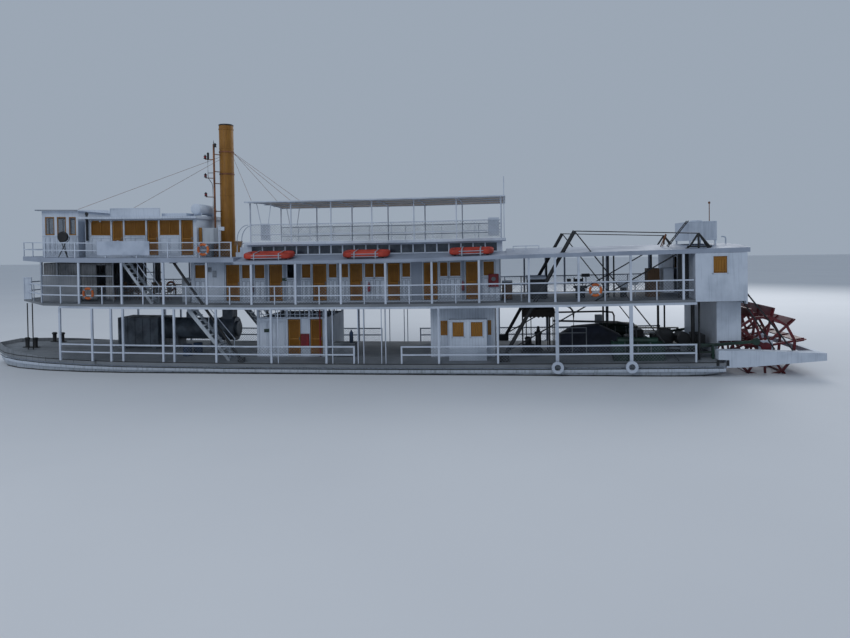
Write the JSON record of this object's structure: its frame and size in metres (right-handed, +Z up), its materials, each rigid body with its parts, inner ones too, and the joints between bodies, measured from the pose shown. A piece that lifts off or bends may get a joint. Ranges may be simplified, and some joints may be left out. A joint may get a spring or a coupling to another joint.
{
  "type": "stern-wheel paddle steamer, scale model 1:2",
  "caption": "Flat-bottomed stern-wheel river steamer with cabins on its upper deck, wheelhouse, tall funnel, canopy deck and a turning paddle wheel; 1:2 scale model.",
  "frame": {"origin": "on the centreline, halfway along the overall length, at the bottom of the flat hull", "axes": "+X aft from the bow towards the paddle wheel, +Y to starboard, +Z up"},
  "size_m": [21.925, 4.109, 7.1078],
  "materials": {
    "hull_paint": "semi-gloss white with weathering, dark below the waterline",
    "deck_paint": "worn matt grey deck paint",
    "house_white": "satin white paint",
    "wheel_red": "dark red oxide paint, wet and worn",
    "raft_orange": "matt orange-red canvas-covered float",
    "funnel_ochre": "satin ochre paint",
    "boiler_grey": "matt heat-stained dark grey",
    "machine_green": "dark green machine enamel",
    "worn_steel": "worn bright steel",
    "helm_wood": "varnished brown wood",
    "joinery_ochre": "satin ochre paint on doors and shutters",
    "stay_black": "black painted iron rod",
    "stair_grey": "worn light grey paint",
    "mast_rust": "rust-brown paint",
    "cover_cloth": "weathered grey-green tarpaulin",
    "curtain_cloth": "heavy woven curtain cloth",
    "rudder_black": "black bottom paint",
    "tank_white": "white paint with rust runs"
  },
  "bodies": {
    "root": {"hull": "hull_paint", "main_deck": "deck_paint", "stern_arms": "hull_paint", "engine_port": "machine_green", "engine_starboard": "machine_green", "boiler": "boiler_grey", "funnel": "funnel_ochre", "bracing_port": "stay_black", "bracing_starboard": "stay_black", "fore_brace_port": "stay_black", "fore_brace_starboard": "stay_black", "lower_side_port": "house_white", "lower_side_starboard": "house_white", "upper_side_port": "house_white", "upper_side_starboard": "house_white", "upper_deck": "deck_paint", "boat_deck": "house_white", "stair_lower_port": "stair_grey", "stair_lower_starboard": "stair_grey", "stair_upper": "stair_grey", "cabin_wall_port": "house_white", "cabin_wall_starboard": "house_white", "cabin_bulkheads": "house_white", "saloon_walls": "house_white", "saloon_curtains": "curtain_cloth", "store_room": "house_white", "galley": "house_white", "stern_house": "house_white", "wheelhouse": "house_white", "officers_cabins": "house_white", "covered_machine": "cover_cloth", "boat_deck_rail": "house_white", "skylight_deck": "house_white", "sun_deck_rail": "house_white", "canopy": "house_white", "mast": "mast_rust", "water_cylinder": "tank_white", "roof_tank": "tank_white", "rafts_port": "raft_orange", "rafts_starboard": "raft_orange"},
    "paddle_wheel": {"paddle_wheel": "wheel_red"},
    "crosshead_port": {"crosshead_port": "worn_steel"},
    "crosshead_starboard": {"crosshead_starboard": "worn_steel"},
    "pitman_port": {"pitman_port": "machine_green"},
    "pitman_starboard": {"pitman_starboard": "machine_green"},
    "rudder_port": {"rudder_port": "rudder_black"},
    "rudder_starboard": {"rudder_starboard": "rudder_black"},
    "helm": {"helm": "helm_wood"},
    "cabin_door_1": {"cabin_door_1": "joinery_ochre"},
    "cabin_door_2": {"cabin_door_2": "joinery_ochre"},
    "cabin_door_3": {"cabin_door_3": "joinery_ochre"},
    "cabin_door_4": {"cabin_door_4": "joinery_ochre"},
    "cabin_door_5": {"cabin_door_5": "joinery_ochre"},
    "cabin_door_6": {"cabin_door_6": "joinery_ochre"},
    "cabin_door_7": {"cabin_door_7": "joinery_ochre"},
    "store_door_1": {"store_door_1": "joinery_ochre"},
    "store_door_2": {"store_door_2": "joinery_ochre"},
    "officers_door_1": {"officers_door_1": "joinery_ochre"},
    "officers_door_2": {"officers_door_2": "joinery_ochre"},
    "officers_door_3": {"officers_door_3": "joinery_ochre"}
  },
  "joints": [
    {"name": "wheel_turn", "type": "hinge", "parent": "root", "child": "paddle_wheel", "pos_m": [9.7875, 0, 1.05], "axis": [0, 1, 0], "continuous": true},
    {"name": "crosshead_port_slide", "type": "slide", "parent": "root", "child": "crosshead_port", "axis": [1, 0, 0], "range_m": [-0.0468, 0.5532]},
    {"name": "crosshead_starboard_slide", "type": "slide", "parent": "root", "child": "crosshead_starboard", "axis": [1, 0, 0], "range_m": [-0.47, 0.13]},
    {"name": "pitman_port_swing", "type": "hinge", "parent": "crosshead_port", "child": "pitman_port", "pos_m": [7.83432, -1.615, 1.05], "axis": [0, 1, 0], "range_deg": [-5.1, 15.2]},
    {"name": "pitman_starboard_swing", "type": "hinge", "parent": "crosshead_starboard", "child": "pitman_starboard", "pos_m": [8.25747, 1.615, 1.05], "axis": [0, 1, 0], "range_deg": [-1.4, 19]},
    {"name": "rudder_port_turn", "type": "hinge", "parent": "root", "child": "rudder_port", "pos_m": [8.0875, -0.8, 0.3], "axis": [0, 0, 1], "range_deg": [-35, 35]},
    {"name": "rudder_starboard_turn", "type": "hinge", "parent": "root", "child": "rudder_starboard", "pos_m": [8.0875, 0.8, 0.3], "axis": [0, 0, 1], "range_deg": [-35, 35]},
    {"name": "helm_turn", "type": "hinge", "parent": "root", "child": "helm", "pos_m": [-8.6525, 0, 4.01476], "axis": [1, 0, 0], "range_deg": [-350, 350]},
    {"name": "cabin_door_1_swing", "type": "hinge", "parent": "root", "child": "cabin_door_1", "pos_m": [-3.6875, -1.375, 2.23117], "axis": [0, 0, -1], "range_deg": [0, 100]},
    {"name": "cabin_door_2_swing", "type": "hinge", "parent": "root", "child": "cabin_door_2", "pos_m": [-2.5125, -1.375, 2.224], "axis": [0, 0, -1], "range_deg": [0, 100]},
    {"name": "cabin_door_3_swing", "type": "hinge", "parent": "root", "child": "cabin_door_3", "pos_m": [-1.3425, -1.375, 2.224], "axis": [0, 0, -1], "range_deg": [0, 100]},
    {"name": "cabin_door_4_swing", "type": "hinge", "parent": "root", "child": "cabin_door_4", "pos_m": [-0.3625, -1.375, 2.224], "axis": [0, 0, -1], "range_deg": [0, 100]},
    {"name": "cabin_door_5_swing", "type": "hinge", "parent": "root", "child": "cabin_door_5", "pos_m": [0.6275, -1.375, 2.224], "axis": [0, 0, -1], "range_deg": [0, 100]},
    {"name": "cabin_door_6_swing", "type": "hinge", "parent": "root", "child": "cabin_door_6", "pos_m": [1.5525, -1.375, 2.22785], "axis": [0, 0, -1], "range_deg": [0, 100]},
    {"name": "cabin_door_7_swing", "type": "hinge", "parent": "root", "child": "cabin_door_7", "pos_m": [2.6275, -1.375, 2.23605], "axis": [0, 0, -1], "range_deg": [0, 100]},
    {"name": "store_door_1_swing", "type": "hinge", "parent": "root", "child": "store_door_1", "pos_m": [-2.0075, -1.45, 0.799], "axis": [0, 0, -1], "range_deg": [0, 100]},
    {"name": "store_door_2_swing", "type": "hinge", "parent": "root", "child": "store_door_2", "pos_m": [-1.4125, -1.45, 0.799], "axis": [0, 0, -1], "range_deg": [0, 100]},
    {"name": "officers_door_1_swing", "type": "hinge", "parent": "root", "child": "officers_door_1", "pos_m": [-6.9475, -1.2, 3.47295], "axis": [0, 0, -1], "range_deg": [0, 100]},
    {"name": "officers_door_2_swing", "type": "hinge", "parent": "root", "child": "officers_door_2", "pos_m": [-5.9475, -1.2, 3.4632], "axis": [0, 0, -1], "range_deg": [0, 100]},
    {"name": "officers_door_3_swing", "type": "hinge", "parent": "root", "child": "officers_door_3", "pos_m": [-4.9875, -1.2, 3.45384], "axis": [0, 0, -1], "range_deg": [0, 100]}
  ],
  "couplings": [
    {"joint": "rudder_starboard_turn", "follows": "rudder_port_turn", "ratio": 1},
    {"joint": "helm_turn", "follows": "rudder_port_turn", "ratio": 10}
  ]
}
